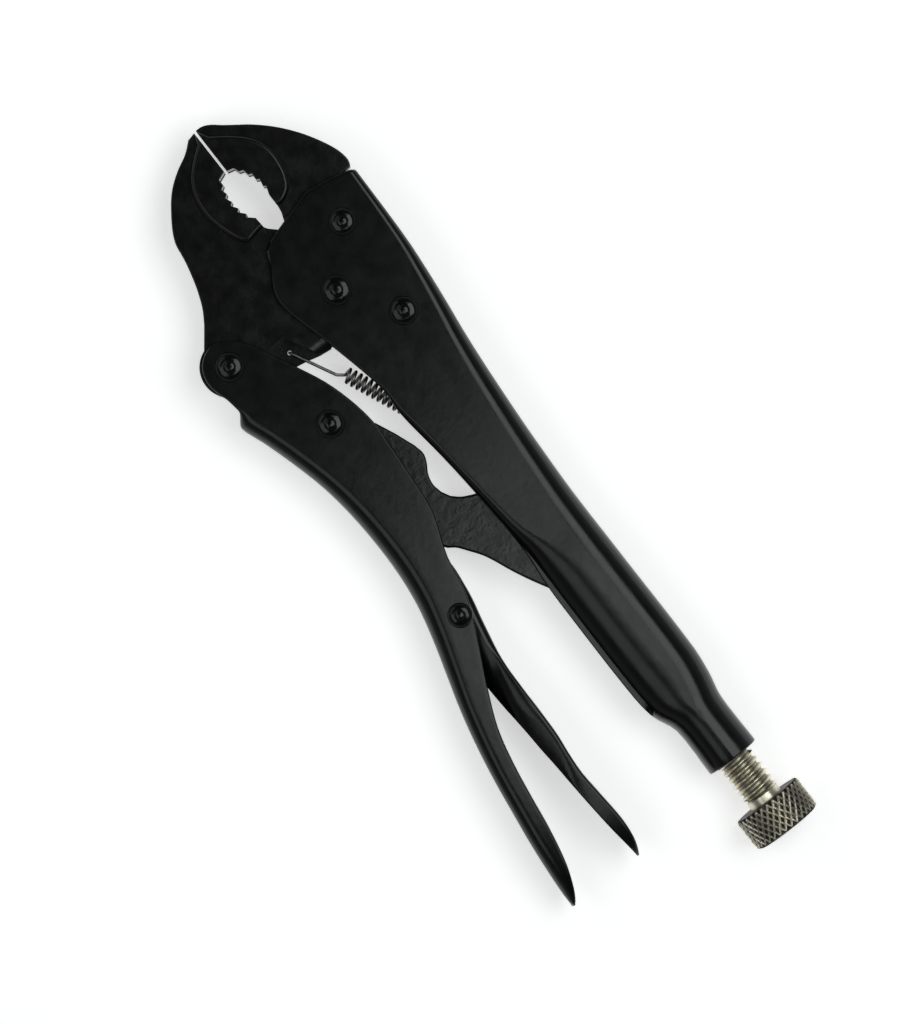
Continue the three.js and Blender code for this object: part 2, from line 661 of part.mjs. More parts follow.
place(fixedSide, 'fixed_handle', geometryOf(fixedHandle()), blackSteel(0.35))
place(fixedSide, 'fixed_jaw', geometryOf(fixedJaw()), blackSteel(0.5))
place(fixedSide, 'tension_spring', geometryOf(tensionSpring()), platedSteel(0.35))
place(movingSide, 'moving_jaw', geometryOf(movingJaw()), blackSteel(0.5))
place(movingSide, 'moving_handle', geometryOf(movingHandle()), blackSteel(0.35))
place(movingSide, 'toggle_link', geometryOf(toggleLink()), blackSteel(0.6))
place(movingSide, 'release_lever', geometryOf(releaseLever()), blackSteel(0.4))

const rivets = [
  ['main_pivot_rivet', mainPivot, fixedSide],
  ['front_jaw_rivet', frontRivet, fixedSide],
  ['rear_jaw_rivet', rearRivet, fixedSide],
  ['jaw_handle_rivet', jawPivot, movingSide],
  ['link_rivet', linkPivot, movingSide],
  ['lever_rivet', leverPivot, movingSide],
]
for (const [name, pivot, side] of rivets) {
  const rivet = place(side, name, rivetGeometry(pivot), blackSteel(0.3))
  rivet.rotation.x = Math.PI / 2
  rivet.position.set(pivot.x, pivot.y, 0)
}

// The lathe's axis is turned from +Y to +X and lifted to the screw's line.
const screw = place(adjuster, 'adjusting_screw', screwGeometry(), platedSteel(0.4))
const knob = place(adjuster, 'adjusting_knob', knobGeometry(), platedSteel(0.45))
for (const turned of [screw, knob]) turned.rotation.z = -Math.PI / 2
adjuster.position.y = screwY

// The origin is under the middle of the whole tool as it lies on its side.
const bounds = new THREE.Box3().setFromObject(pliers)
pliers.position.set(-(bounds.min.x + bounds.max.x) / 2, -(bounds.min.y + bounds.max.y) / 2, -bounds.min.z)

export default pliers
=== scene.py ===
# Locking pliers with curved jaws, lying on their side on a pale bench.
import json
import math

import bmesh
import bpy
from mathutils import Matrix, Vector


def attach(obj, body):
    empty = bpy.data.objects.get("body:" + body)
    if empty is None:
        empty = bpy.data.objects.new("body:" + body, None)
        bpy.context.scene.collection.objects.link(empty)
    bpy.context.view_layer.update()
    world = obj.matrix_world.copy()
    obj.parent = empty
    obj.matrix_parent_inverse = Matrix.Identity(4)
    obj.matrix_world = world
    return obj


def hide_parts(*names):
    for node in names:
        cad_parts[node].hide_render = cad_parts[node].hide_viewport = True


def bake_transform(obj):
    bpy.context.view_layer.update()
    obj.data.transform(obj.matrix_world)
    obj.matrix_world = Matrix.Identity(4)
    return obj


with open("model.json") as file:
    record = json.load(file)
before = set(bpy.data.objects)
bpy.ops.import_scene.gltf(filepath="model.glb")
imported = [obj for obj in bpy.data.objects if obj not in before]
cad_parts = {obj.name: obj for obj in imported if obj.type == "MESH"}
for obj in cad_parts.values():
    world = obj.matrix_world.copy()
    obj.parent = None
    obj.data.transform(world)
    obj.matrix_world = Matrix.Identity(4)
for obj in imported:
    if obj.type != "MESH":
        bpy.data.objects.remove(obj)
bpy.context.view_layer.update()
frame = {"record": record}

# ---------------------------------------------------------------- fixed handle
# One sheet of 2.2 mm steel pressed into a channel that is open below. Its lower edges are
# folded in behind the spring, and its rear is rolled to a barrel and then to a tube round
# the adjusting screw. It is dipped in black enamel, as are the jaws and the other handle.

MM = 0.001
SHEET = 2.2
CHEEK = 7.0
CUT_EDGE = 0.45
TIGHTEST_FOLD = 0.4
hinges = {joint["name"]: joint for joint in frame["record"]["behaviour"]["joints"]}
main_pivot = Vector(hinges["jaw_pivot"]["pos_m"])


def linear(code):
    """A colour given as an sRGB hex code, in linear light."""
    shares = [int(code[i : i + 2], 16) / 255 for i in (1, 3, 5)]
    return [c / 12.92 if c <= 0.04045 else ((c + 0.055) / 1.055) ** 2.4 for c in shares] + [1]


def node(tree, kind, settings={}, links={}):
    """Adds a node, sets its properties and sockets, and links its inputs to outputs.
    A socket goes by its name, or by its number where several have the same name."""
    made = tree.nodes.new(kind)
    for name, value in settings.items():
        if isinstance(name, int) or name in made.inputs:
            made.inputs[name].default_value = value
        else:
            setattr(made, name, value)
    for name, output in links.items():
        tree.links.new(made.inputs[name], output)
    return made


def new_finish(name):
    """An empty material, with its tree, its shader and the object's own coordinates."""
    material = bpy.data.materials.new(name)
    material.use_nodes = True
    tree = material.node_tree
    place = tree.nodes.new("ShaderNodeTexCoord").outputs["Object"]
    return material, tree, tree.nodes["Principled BSDF"], place


def noise(place, size_mm, detail):
    """What a noise texture is made with: its features' size in millimetres, and its detail."""
    return "ShaderNodeTexNoise", {"Scale": 1 / (size_mm * MM), "Detail": detail}, {"Vector": place}


def enamel(name, dark, light, gloss, grain_mm, depth_mm):
    """Thin black enamel: its colour and gloss drift a little, over the steel's own grain."""
    material, tree, shader, place = new_finish(name)
    shader.inputs["Specular IOR Level"].default_value = 0.35
    drift = node(tree, *noise(place, 9, 3))
    tint = node(
        tree,
        "ShaderNodeMix",
        {"data_type": "RGBA", 6: linear(dark), 7: linear(light)},
        {"Factor": drift.outputs["Fac"]},
    )
    tree.links.new(shader.inputs["Base Color"], tint.outputs[2])
    patches = node(tree, *noise(place, 4, 4))
    dull = node(
        tree,
        "ShaderNodeMapRange",
        {"From Min": 0.3, "From Max": 0.7, "To Min": gloss[0], "To Max": gloss[1]},
        {"Value": patches.outputs["Fac"]},
    )
    tree.links.new(shader.inputs["Roughness"], dull.outputs["Result"])
    grain = node(tree, *noise(place, grain_mm, 3))
    relief = node(
        tree,
        "ShaderNodeBump",
        {"Strength": 1.0, "Distance": depth_mm * MM},
        {"Height": grain.outputs["Fac"]},
    )
    tree.links.new(shader.inputs["Normal"], relief.outputs["Normal"])
    return material


# Enamel on smooth pressed sheet: near black with a satin gloss and a faint ripple.
pressed_enamel = enamel(
    "black_enamel_on_pressed_steel", "#050505", "#0a0b0b", (0.2, 0.26), grain_mm=1.6, depth_mm=0.02
)


def along(rows, x):
    """The values of the rows at x, on a smooth line through them."""
    last = len(rows) - 2
    k = min(max(sum(row[0] <= x for row in rows) - 1, 0), last)
    a, b = rows[k], rows[k + 1]
    before, after = rows[max(k - 1, 0)], rows[min(k + 2, last + 1)]
    step = b[0] - a[0]
    t = min(max((x - a[0]) / step, 0), 1)
    values = []
    for i in range(1, len(a)):
        leave = (b[i] - before[i]) / (b[0] - before[0]) * step
        reach = (after[i] - a[i]) / (after[0] - a[0]) * step
        change = a[i] - b[i]
        squared = -3 * change - 2 * leave - reach
        cubed = 2 * change + leave + reach
        values.append(a[i] + t * (leave + t * (squared + t * cubed)))
    return values


def steps(start, end, size):
    """Places from start to end, about one size apart."""
    count = math.ceil((end - start) / size)
    return [start + (end - start) * i / count for i in range(count + 1)]


def ease(x, start, end):
    """Rises smoothly from 0 at start to 1 at end."""
    t = min(max((x - start) / (end - start), 0), 1)
    return t * t * (3 - 2 * t)


def bend(z, y, radius, first, last, count=6):
    """Points (z, y) of a rounded corner about its centre, between two angles in degrees."""
    angles = [math.radians(first + (last - first) * i / count) for i in range(count + 1)]
    return [(z + radius * math.cos(a), y + radius * math.sin(a)) for a in angles]


def between(one, other, share):
    """Points part of the way from one list to the other."""
    return [tuple(p + (q - p) * share for p, q in zip(a, b)) for a, b in zip(one, other)]


def both_halves(shape):
    """Mirrors one half about the middle plane, and turns all faces outwards."""
    bmesh.ops.mirror(
        shape,
        geom=shape.verts[:] + shape.edges[:] + shape.faces[:],
        matrix=Matrix.Identity(4),
        merge_dist=1e-3,
        axis="Z",
    )
    bmesh.ops.recalc_face_normals(shape, faces=shape.faces[:])
    return shape


def folded_sheet(loops):
    """A sheet folded to a channel: a closed loop of points round one half at each station,
    skinned, closed at its ends and mirrored about the middle plane."""
    shape = bmesh.new()
    around = len(loops[0])
    bmesh.ops.create_grid(shape, x_segments=around, y_segments=len(loops) - 1, size=1)
    shape.verts.ensure_lookup_table()
    for i, vert in enumerate(shape.verts):
        row, column = divmod(i, around + 1)
        vert.co = loops[row][column % around]
    bmesh.ops.remove_doubles(shape, verts=shape.verts[:], dist=1e-4)
    bmesh.ops.holes_fill(shape, edges=[e for e in shape.edges if e.is_boundary])
    inner = [f for f in shape.faces if all(abs(v.co.z) < 1e-3 for v in f.verts)]
    bmesh.ops.delete(shape, geom=inner, context="FACES")
    return both_halves(shape)


def make_piece(name, shape, finish):
    """Puts a shape, in millimetres about the main pivot, into the frame as a smooth piece."""
    bmesh.ops.scale(shape, vec=(MM, MM, MM), verts=shape.verts[:])
    bmesh.ops.translate(shape, vec=main_pivot, verts=shape.verts[:])
    for face in shape.faces:
        face.smooth = True
    mesh = bpy.data.meshes.new(name)
    shape.to_mesh(mesh)
    shape.free()
    mesh.set_sharp_from_angle(angle=math.radians(50))
    mesh.materials.append(finish)
    piece = bpy.data.objects.new(name, mesh)
    bpy.context.scene.collection.objects.link(piece)
    even = piece.modifiers.new("even_shading", "WEIGHTED_NORMAL")
    even.keep_sharp = True
    return piece


# x, back, half width, radius of the upper folds, radius of the lower folds
handle_rows = [
    (-30, 24.1, CHEEK, 1.7, 0.5),
    (-20, 24, CHEEK, 1.8, 0.5),
    (0, 23.5, CHEEK, 2.5, 0.5),
    (10, 22.7, CHEEK, 3.1, 0.5),
    (20, 21.6, CHEEK, 3.7, 0.5),
    (30, 20.3, CHEEK, 4.3, 0.9),
    (40, 19.3, CHEEK, 4.8, 1.9),
    (50, 18.5, CHEEK, 5.2, 2),
    (60, 17.8, CHEEK, 5.6, 2.2),
    (70, 17.3, CHEEK, 6, 2.6),
    (80, 16.9, CHEEK + 0.1, 6.4, 3.4),
    (88, 16.8, 7.25, 6.6, 5.5),
    (96, 16.8, 7.5, 6.8, 7.2),
    (104, 16.8, 7.6, 6.8, 7.5),
    (135, 16.7, 7.65, 7, 7.6),
    (143, 15.8, 7.65, 7.4, 7.65),
    (150, 14.4, 7.65, 7.65, 7.65),
    (165, 14.4, 7.65, 7.65, 7.65),
]
# x, lower edge of the cheeks, and behind the spring the underside
lower_rows = [
    (-23, -5), (-19.8, -8.5), (-16, -10), (-13.2, -11.9), (-10, -13.5), (-6.1, -14.2),
    (-1, -13.4), (5.6, -11.6), (13, -9.8), (20, -8.2), (26, -7), (30, -6.6), (35, -7),
    (40, -6.7), (50, -5.5), (60, -4.6), (70, -3.9), (80, -3.4), (88, -3.4), (96, -4.2),
    (104, -4.5), (135, -4.5), (143, -3.6), (150, -0.9), (165, -0.9),
]
# height, front edge of the sheet
front_rows = [
    (-12, -14), (-10, -16), (-8.5, -19.8), (-6.4, -21.3), (-2, -22.6), (4.4, -24.5),
    (8.5, -25.9), (12, -25.6), (17, -24.8), (22.6, -23.4), (24, -22.7), (26, -22.4),
]
FRONT = -22.0
SLOT_HALF = 3.8
SLOT_END = 143.0
HANDLE_END = 165.0


def handle_loop(x, thin=0.0):
    """The sheet's outline across one half of the handle; thin rounds off a cut end."""
    back, half, upper, lower = along(handle_rows, x)
    pull = 1 - ease(x, FRONT, FRONT + 20)
    underside = -9.0
    for _ in range(6):
        edge_x = x + pull * (along(front_rows, underside)[0] - FRONT)
        underside = along(lower_rows, edge_x)[0]
    slot = SLOT_HALF
    if x > SLOT_END - SLOT_HALF:
        slot = math.sqrt(max(SLOT_HALF**2 - (x - SLOT_END + SLOT_HALF) ** 2, 0.0))
    slot = max(slot, 0.06)
    fold = ease(x, 29, 39)
    top, low, side, wall = back - thin, underside + thin, half - thin, SHEET - 2 * thin
    inner = side - wall
    round_in = max(upper - SHEET, TIGHTEST_FOLD)
    round_low = max(lower - SHEET, TIGHTEST_FOLD)
    edge = CUT_EDGE
    outside = [(0, top)]
    outside += bend(side - upper, top - upper, upper, 90, 0, 8)
    # The barrel's lower corner is rolled taller than it is wide.
    swell = 1 + 0.5 * ease(x, 74, 104) * (1 - ease(x, 137, 149))
    crown = low + lower * swell
    outside += [(side, crown + (top - upper - crown) * s) for s in (0.8, 0.6, 0.4, 0.25, 0.1)]
    corner = bend(side - lower, low + lower, lower, 0, -90, 9)
    outside += [(z, low + (y - low) * swell) for z, y in corner]
    inside = bend(inner - round_in, top - wall - round_in, round_in, 0, 90, 6)
    inside += [(0, top - wall)]
    folded = bend(slot + edge, low + edge, edge, 270, 180, 3)
    folded += bend(slot + edge, low + wall - edge, edge, 180, 90, 3)
    folded += bend(inner - round_low, low + wall + round_low, round_low, -90, 0, 5)
    straight = bend(inner + edge, low + edge, edge, 270, 180, 3)
    rises = (0.2, 0.4, 0.6, 0.8, 1.0, 1.2, 1.4, 1.6, 1.8, 2.0)
    straight += [(inner, low + edge + s) for s in rises]
    lip = between(straight, folded, fold)
    rise = lip[-1][1]
    climb = [(inner, rise + (top - wall - round_in - rise) * s) for s in (0.15, 0.35, 0.55, 0.75)]
    points = outside + lip + climb + inside
    return [(x + pull * (along(front_rows, y)[0] - FRONT), y, z) for z, y in points]


stations = [(FRONT, 0.45), (FRONT + 0.1, 0.2), (FRONT + 0.4, 0.04)]
stations += [(x, 0.0) for x in steps(FRONT + 1, 138, 2.5)]
stations += [(x, 0.0) for x in (139.2, 140.2, 141, 141.8, 142.4, 142.8, 143, 144.5)]
stations += [(x, 0.0) for x in (146, 148, 150, 153, 158, 162)]
stations += [(HANDLE_END - 0.5, 0.0), (HANDLE_END - 0.12, 0.15), (HANDLE_END, 0.45)]
sheet = folded_sheet([handle_loop(x, thin) for x, thin in stations])
fixed_handle = make_piece("fixed_handle_channel", sheet, pressed_enamel)
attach(fixed_handle, "fixed_side")
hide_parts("fixed_handle")

# ---------------------------------------------------------------- fixed jaw
# A drop-forged jaw whose flat tang is riveted between the handle's cheeks. A raised pad on
# each side backs the curved row of teeth. Its forged skin shows through the enamel.

JAW_HALF = 4.5
PAD_RISE = 1.5
JAW_ROOT = 23.5
JAW_REACH = 57.3

# Enamel on a forging: a little duller, with the pitted scale of the hammered surface.
forged_enamel = enamel(
    "black_enamel_on_forged_steel", "#050505", "#0a0a0a", (0.2, 0.3), grain_mm=0.9, depth_mm=0.03
)


def ahead(rows):
    """Points ahead of the handle, from shares of the jaws' free length and heights."""
    return [(-(JAW_ROOT + share * (JAW_REACH - JAW_ROOT)), y) for share, y in rows]


def curve(points, size=1.0):
    """A smooth line through points, about one size between its own points."""
    rows, way = [], 0.0
    for i, point in enumerate(points):
        way += math.dist(point, points[i - 1]) if i else 0.0
        rows.append((way, *point))
    return [tuple(along(rows, s)) for s in steps(0, way, size)]


def arc(x, y, radius, first, last, count):
    """Points of an arc about (x, y), between two angles in radians."""
    angles = [first + (last - first) * i / count for i in range(count + 1)]
    return [(x + radius * math.cos(a), y + radius * math.sin(a)) for a in angles]


def saw_teeth(start, end, bulge, count, depth):
    """The mouth's row of teeth along an arc from start to end: root, then crest."""
    run = Vector(end) - Vector(start)
    side = Vector((-run.y, run.x)).normalized()
    points = []
    for tooth in range(count):
        for share, sink in ((0.3, depth), (0.45, depth * 0.8), (0.94, 0.05), (1.0, 0.0)):
            t = (tooth + share) / count
            rise = bulge * 4 * t * (1 - t) + math.copysign(sink, bulge)
            points.append(tuple(Vector(start) + run * t + side * rise))
    return points


def round_rims(shape, edges, width, count=2):
    """Rounds off edges."""
    bmesh.ops.bevel(
        shape,
        geom=edges,
        offset=width,
        offset_type="OFFSET",
        segments=count,
        profile=0.5,
        affect="EDGES",
        clamp_overlap=True,
        material=-1,
    )


def flat_rims(shape, low=-1e9, high=1e9):
    """The edges between a face that lies flat and one that stands, between two heights."""
    rims = []
    for edge in shape.edges:
        if len(edge.link_faces) != 2 or not low < edge.verts[0].co.z < high:
            continue
        flat = [abs(f.normal.z) > 0.9 for f in edge.link_faces]
        if flat[0] != flat[1] and edge.calc_face_angle(0) > 0.7:
            rims.append(edge)
    return rims


def pull_up(shape, faces, height):
    """Pulls faces up by a height, with walls below them, and turns all faces outwards."""
    grown = bmesh.ops.extrude_face_region(shape, geom=faces)
    lifted = [v for v in grown["geom"] if isinstance(v, bmesh.types.BMVert)]
    bmesh.ops.translate(shape, vec=(0, 0, height), verts=lifted)
    bmesh.ops.recalc_face_normals(shape, faces=shape.faces[:])


def blank(outline, low, high):
    """A flat piece cut to an outline."""
    shape = bmesh.new()
    corners = [shape.verts.new((x, y, low)) for x, y in outline]
    for a, b in zip(corners, corners[1:] + corners[:1]):
        shape.edges.new((a, b))
    bmesh.ops.contextual_create(shape, geom=shape.edges[:])
    pull_up(shape, shape.faces[:], high - low)
    return shape


def forged_jaw(outline, pad_first, pad_last, pad_arc):
    """A jaw blank with a raised pad on each side, between its mouth and an arc."""
    shape = blank(outline, 0, JAW_HALF)
    top = max(shape.faces, key=lambda f: f.calc_center_median().z)
    first, last = (
        min(top.verts, key=lambda v: (v.co.xy - Vector(point)).length)
        for point in (pad_first, pad_last)
    )
    line = [(x, y, JAW_HALF) for x, y in pad_arc]
    fresh, _ = bmesh.utils.face_split(top, first, last, coords=line)
    pad = min((top, fresh), key=lambda f: f.calc_area())
    pull_up(shape, [pad], PAD_RISE)
    # The pad slopes down along the arc, and is nearly sharp along the mouth.
    on_arc = {(round(x, 3), round(y, 3)) for x, y in pad_arc}
    slope, mouth = [], []
    for edge in flat_rims(shape, JAW_HALF + 0.1):
        places = [(round(v.co.x, 3), round(v.co.y, 3)) in on_arc for v in edge.verts]
        (slope if any(places) else mouth).append(edge)
    round_rims(shape, slope, 1.15, 3)
    round_rims(shape, [e for e in mouth if e.is_valid], 0.25, 2)
    rims = flat_rims(shape, JAW_HALF - 0.01, JAW_HALF + 0.01)
    round_rims(shape, [e for e in rims if e.is_convex], 0.4, 2)
    bottom = [f for f in shape.faces if all(abs(v.co.z) < 1e-4 for v in f.verts)]
    bmesh.ops.delete(shape, geom=bottom, context="FACES")
    return both_halves(shape)


MOUTH = -3.9
HALF_GAP = 0.35
upper_teeth = saw_teeth(ahead([(0.586, -3)])[0], ahead([(0.24, 1.5)])[0], 1.7, 5, 0.7)
upper_mouth = upper_teeth + ahead([(0.13, 1.5), (0.07, 1.2), (0, 0.3)]) + [(-21.9, 0.6)]
jaw_outline = curve(
    ahead([(1, -3), (0.998, -1.6), (0.97, 0.5), (0.905, 3.2), (0.843, 6), (0.763, 9.6)])
    + ahead([(0.639, 14), (0.488, 18.1), (0.337, 21.2), (0.195, 23.4), (0.1, 24.1)])
    + ahead([(0.053, 24), (0.02, 23.4)])
)
jaw_outline += [(-24, 20.6), (-22, 20.6), (0, 20.1), (19.4, 18.3), (21.8, 16), (21.4, 6.8)]
jaw_outline += [(19.4, 4.8)]
jaw_outline += arc(0, 0, 8.4, 0.6, math.pi + 0.12, 16)
jaw_outline += [(-20.5, -1.5), (-20.8, 0.1)] + upper_mouth[::-1]
jaw_outline += ahead([(0.59, MOUTH + HALF_GAP), (1, MOUTH + HALF_GAP)])
upper_pad = curve(
    ahead([(0.9, -1.6), (0.8, 3), (0.7, 6.6), (0.6, 8.7), (0.488, 9.6), (0.337, 9.2)])
    + ahead([(0.25, 8.3), (0.18, 6.8), (0.13, 4.2), (0.12, 2.6)])
)
pad_ends = ahead([(1, MOUTH + HALF_GAP), (0.13, 1.5)])
shape = forged_jaw(jaw_outline, *pad_ends, upper_pad)
fixed_jaw = make_piece("fixed_jaw_forging", shape, forged_enamel)
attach(fixed_jaw, "fixed_side")
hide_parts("fixed_jaw")

# ---------------------------------------------------------------- moving jaw
# The other forging. It turns on the main pivot between the handle's cheeks, and carries the
# spring's hook in a pocket of its tail and the moving handle on the lug below.

JAW_PIVOT = (-1.4, -35.4)
BOSS = 8.0
LUG = 8.3
HOOK_FRONT = (5.2, -20.4)
HOOK_HOLE = 0.62


def bar(x, y, radius, low=-30, high=30):
    """A round bar along Z, to bore a hole with."""
    shape = bmesh.new()
    bmesh.ops.create_cone(
        shape, cap_ends=True, segments=32, radius1=radius, radius2=radius, depth=high - low
    )
    bmesh.ops.translate(shape, vec=(x, y, (low + high) / 2), verts=shape.verts[:])
    return shape


def carved(shape, cutters):
    """A shape with other shapes cut out of it."""
    objects = []
    for part in (shape, *cutters):
        mesh = bpy.data.meshes.new("carving")
        part.to_mesh(mesh)
        part.free()
        objects.append(bpy.data.objects.new("carving", mesh))
        bpy.context.scene.collection.objects.link(objects[-1])
    for cutter in objects[1:]:
        cut = objects[0].modifiers.new("cut", "BOOLEAN")
        cut.object = cutter
        cut.operation = "DIFFERENCE"
        cut.solver = "EXACT"
    result = bmesh.new()
    result.from_object(objects[0], bpy.context.evaluated_depsgraph_get())
    for done in objects:
        bpy.data.objects.remove(done)
    bmesh.ops.remove_doubles(result, verts=result.verts[:], dist=1e-4)
    return result


lower_teeth = saw_teeth(ahead([(0.595, -5.4)])[0], ahead([(0.155, -5.2)])[0], -2.3, 6, 0.85)
lower_mouth = lower_teeth + ahead([(0.06, -5), (0.03, -4.3)])
lower_mouth += [(-22.6, -2.3), (-21.6, -2.1), (-20.5, -1.9)]
jaw_outline = ahead([(0.993, MOUTH - HALF_GAP), (0.6, MOUTH - HALF_GAP)]) + lower_mouth
jaw_outline += arc(0, 0, BOSS, math.pi + 0.16, -0.5, 24)
jaw_outline += curve([(11.4, -11), (11, -14), (10, -18), (9.2, -22)])
jaw_outline += arc(*JAW_PIVOT, LUG, 0, -math.pi + 0.35, 26)
jaw_outline += curve(
    [(-14.7, -33.9), (-18.4, -31.6), (-22.7, -29.8)]
    + ahead([(0.07, -28.8), (0.195, -27.7), (0.29, -27.1), (0.385, -26.6), (0.488, -25)])
    + ahead([(0.607, -22.3), (0.71, -19.5), (0.781, -16.8), (0.843, -13.6), (0.891, -10.4)])
    + ahead([(0.923, -8.8), (0.976, -6.7)])
)
lower_pad = curve(
    ahead([(0.9, -5.6), (0.82, -9.2), (0.72, -12.6), (0.6, -14.8), (0.488, -15.5)])
    + ahead([(0.385, -15.5), (0.29, -14.9), (0.195, -13.9), (0.1, -12.5), (0.04, -10.6)])
    + ahead([(0.05, -8), (0.06, -6)])
)
pad_ends = ahead([(0.993, MOUTH - HALF_GAP), (0.06, -5)])
shape = forged_jaw(jaw_outline, *pad_ends, lower_pad)

# The tail thins rearwards on both sides: (x, half thickness) of what is taken off.
TAIL_CUT = [(7.4, JAW_HALF), (13.5, 0.6), (13.5, JAW_HALF + 1), (7.4, JAW_HALF + 1)]
slopes = []
for side in (1, -1):
    for y_low, y_high in ((-15.8, -8.5), (-24, -16)):
        wedge = blank(TAIL_CUT, y_low, y_high)
        turn = Matrix(((1, 0, 0), (0, 0, 1), (0, side, 0)))
        bmesh.ops.transform(wedge, matrix=turn.to_4x4(), verts=wedge.verts[:])
        bmesh.ops.recalc_face_normals(wedge, faces=wedge.faces[:])
        slopes.append(wedge)
# The spring's hook lies in this pocket of the upper side.
pocket_outline = [(1.2, -23.4), (0.9, -19), (3.4, -17.9), (7.4, -15.8), (14, -12), (14, -21)]
pocket = blank(pocket_outline + [(7, -23)], -0.75, 7)
holes = [bar(*HOOK_FRONT, HOOK_HOLE), bar(0, 0, 3.1), bar(*JAW_PIVOT, 2.9)]
shape = carved(shape, [*slopes, pocket, *holes])
moving_jaw = make_piece("moving_jaw_forging", shape, forged_enamel)
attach(moving_jaw, "jaw")
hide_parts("moving_jaw")

# ---------------------------------------------------------------- moving handle
# The lower grip: the same sheet pressed into a channel that is open towards the tool's
# middle. Ahead of its back, two flat ears take the jaw's lug between them.

# x, back, half width, radius of the folds
grip_rows = [
    (-9, -41.3, CHEEK, 3.4), (9, -41.3, CHEEK, 3.4), (11, -42.7, CHEEK, 4),
    (13, -43.2, CHEEK, 4.4), (15, -42.9, CHEEK, 4.6), (20, -41, CHEEK, 4.6),
    (30, -38, CHEEK, 4.6), (40, -35.6, CHEEK, 4.7), (50, -34.3, CHEEK, 4.9),
    (60, -33.8, CHEEK, 5), (70, -34, CHEEK, 5), (80, -35.2, CHEEK, 4.9),
    (90, -37.6, CHEEK, 4.6), (100, -40.6, CHEEK, 4.3), (110, -43.6, CHEEK, 4),
    (120, -46, CHEEK, 3.8), (130, -47.9, CHEEK, 3.6), (140, -49.4, CHEEK, 3.6),
    (150, -50.8, 6.8, 3.6), (160, -51.8, 6, 3.6), (166, -52.2, 4.8, 3), (170, -52.3, 3, 1.1),
]
# x, upper edge of the cheeks
grip_edge = [
    (-8.9, -34.4), (-8.2, -33.2), (-6.9, -31.2), (-5.3, -29.2), (-3, -27.6), (0, -26),
    (9.6, -21.2), (18, -17.4), (27, -14.9), (34.9, -13.9), (40, -14.2), (50, -14.9),
    (61, -15.9), (66, -17.3), (71, -19.3), (75, -20.7), (79, -21.4), (84, -22.3),
    (88.5, -23.8), (94, -26.3), (100, -29.2), (110, -34.2), (120, -38.5), (130, -41),
    (140, -42.7), (150, -44.2), (160, -46.4), (166, -48.7), (169, -50.4), (170, -51.4),
]
# x, lower edge of the ears
ear_edge = [
    (-8.9, -36.2), (-8.5, -37.8), (-7.4, -39.8), (-5.4, -41.7), (-1.4, -42.9),
    (2, -42.4), (5.2, -41.4), (8.6, -40.9), (13, -40), (20, -38),
]
LEVER_PIVOT = (89.3, -27.7)
LINK_PIVOT = (27.3, -23.5)


def grip_loop(x):
    """The sheet's outline across one half of the moving handle."""
    back, half, fold = along(grip_rows, x)
    upper = max(along(grip_edge, x)[0], back + 0.9)
    web = ease(x, 8.2, 13.5)
    wall = min(SHEET, half - 0.3)
    inner = half - wall
    round_in = max(fold - SHEET, TIGHTEST_FOLD)
    fold = min(fold, half - 0.2)
    edge = CUT_EDGE
    rim = bend(half - edge, upper - edge, edge, 0, 90, 3)
    rim += bend(inner + edge, upper - edge, edge, 90, 180, 3)
    floor = min(back + SHEET, upper - edge - 0.02)
    span = upper - edge
    radius = min(fold, upper - edge - back)
    folded = [(0, back)] + bend(half - fold, back + fold, radius, -90, 0, 8)
    start = folded[-1][1]
    folded += [(half, start + (span - start) * s) for s in (0.2, 0.4, 0.6, 0.8)] + rim
    start = min(floor + round_in, span)
    folded += [(inner, start + (span - start) * s) for s in (0.8, 0.6, 0.4, 0.2)]
    folded += bend(inner - round_in, floor + round_in, round_in, 0, -90, 8) + [(0, floor)]
    low = along(ear_edge, min(x, 20))[0]
    middle = inner + wall / 2
    flat = [(middle, low)] + bend(half - edge, low + edge, edge, -90, 0, 8)
    start = low + edge
    flat += [(half, start + (span - start) * s) for s in (0.2, 0.4, 0.6, 0.8)] + rim
    flat += [(inner, start + (span - start) * s) for s in (0.8, 0.6, 0.4, 0.2)]
    flat += bend(inner + edge, low + edge, edge, 180, 270, 8) + [(middle, low)]
    return [(x, y, max(z, 0)) for z, y in between(flat, folded, web)]


stations = [-8.9, -8.7, -8.2, -7.4, -6.4, -5.3, -4, -2, 0, 2.5, 5, 7, 8.2, 8.8, 9.4, 10]
stations += [10.7, 11.4, 12.1, 12.8, 13.5] + steps(15, 160, 2.5)
stations += [161.5, 163, 164.5, 166, 167.3, 168.4, 169.3, 170]
holes = [bar(*JAW_PIVOT, 3), bar(*LINK_PIVOT, 3), bar(*LEVER_PIVOT, 2.5)]
shape = carved(folded_sheet([grip_loop(x) for x in stations]), holes)
moving_handle = make_piece("moving_handle_channel", shape, pressed_enamel)
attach(moving_handle, "grip")
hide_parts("moving_handle")

# ---------------------------------------------------------------- toggle link
# A drop-forged strut from the moving handle to the screw's tip. Past dead centre it locks
# the jaws, and its humped back is what the release lever's nose pushes against.

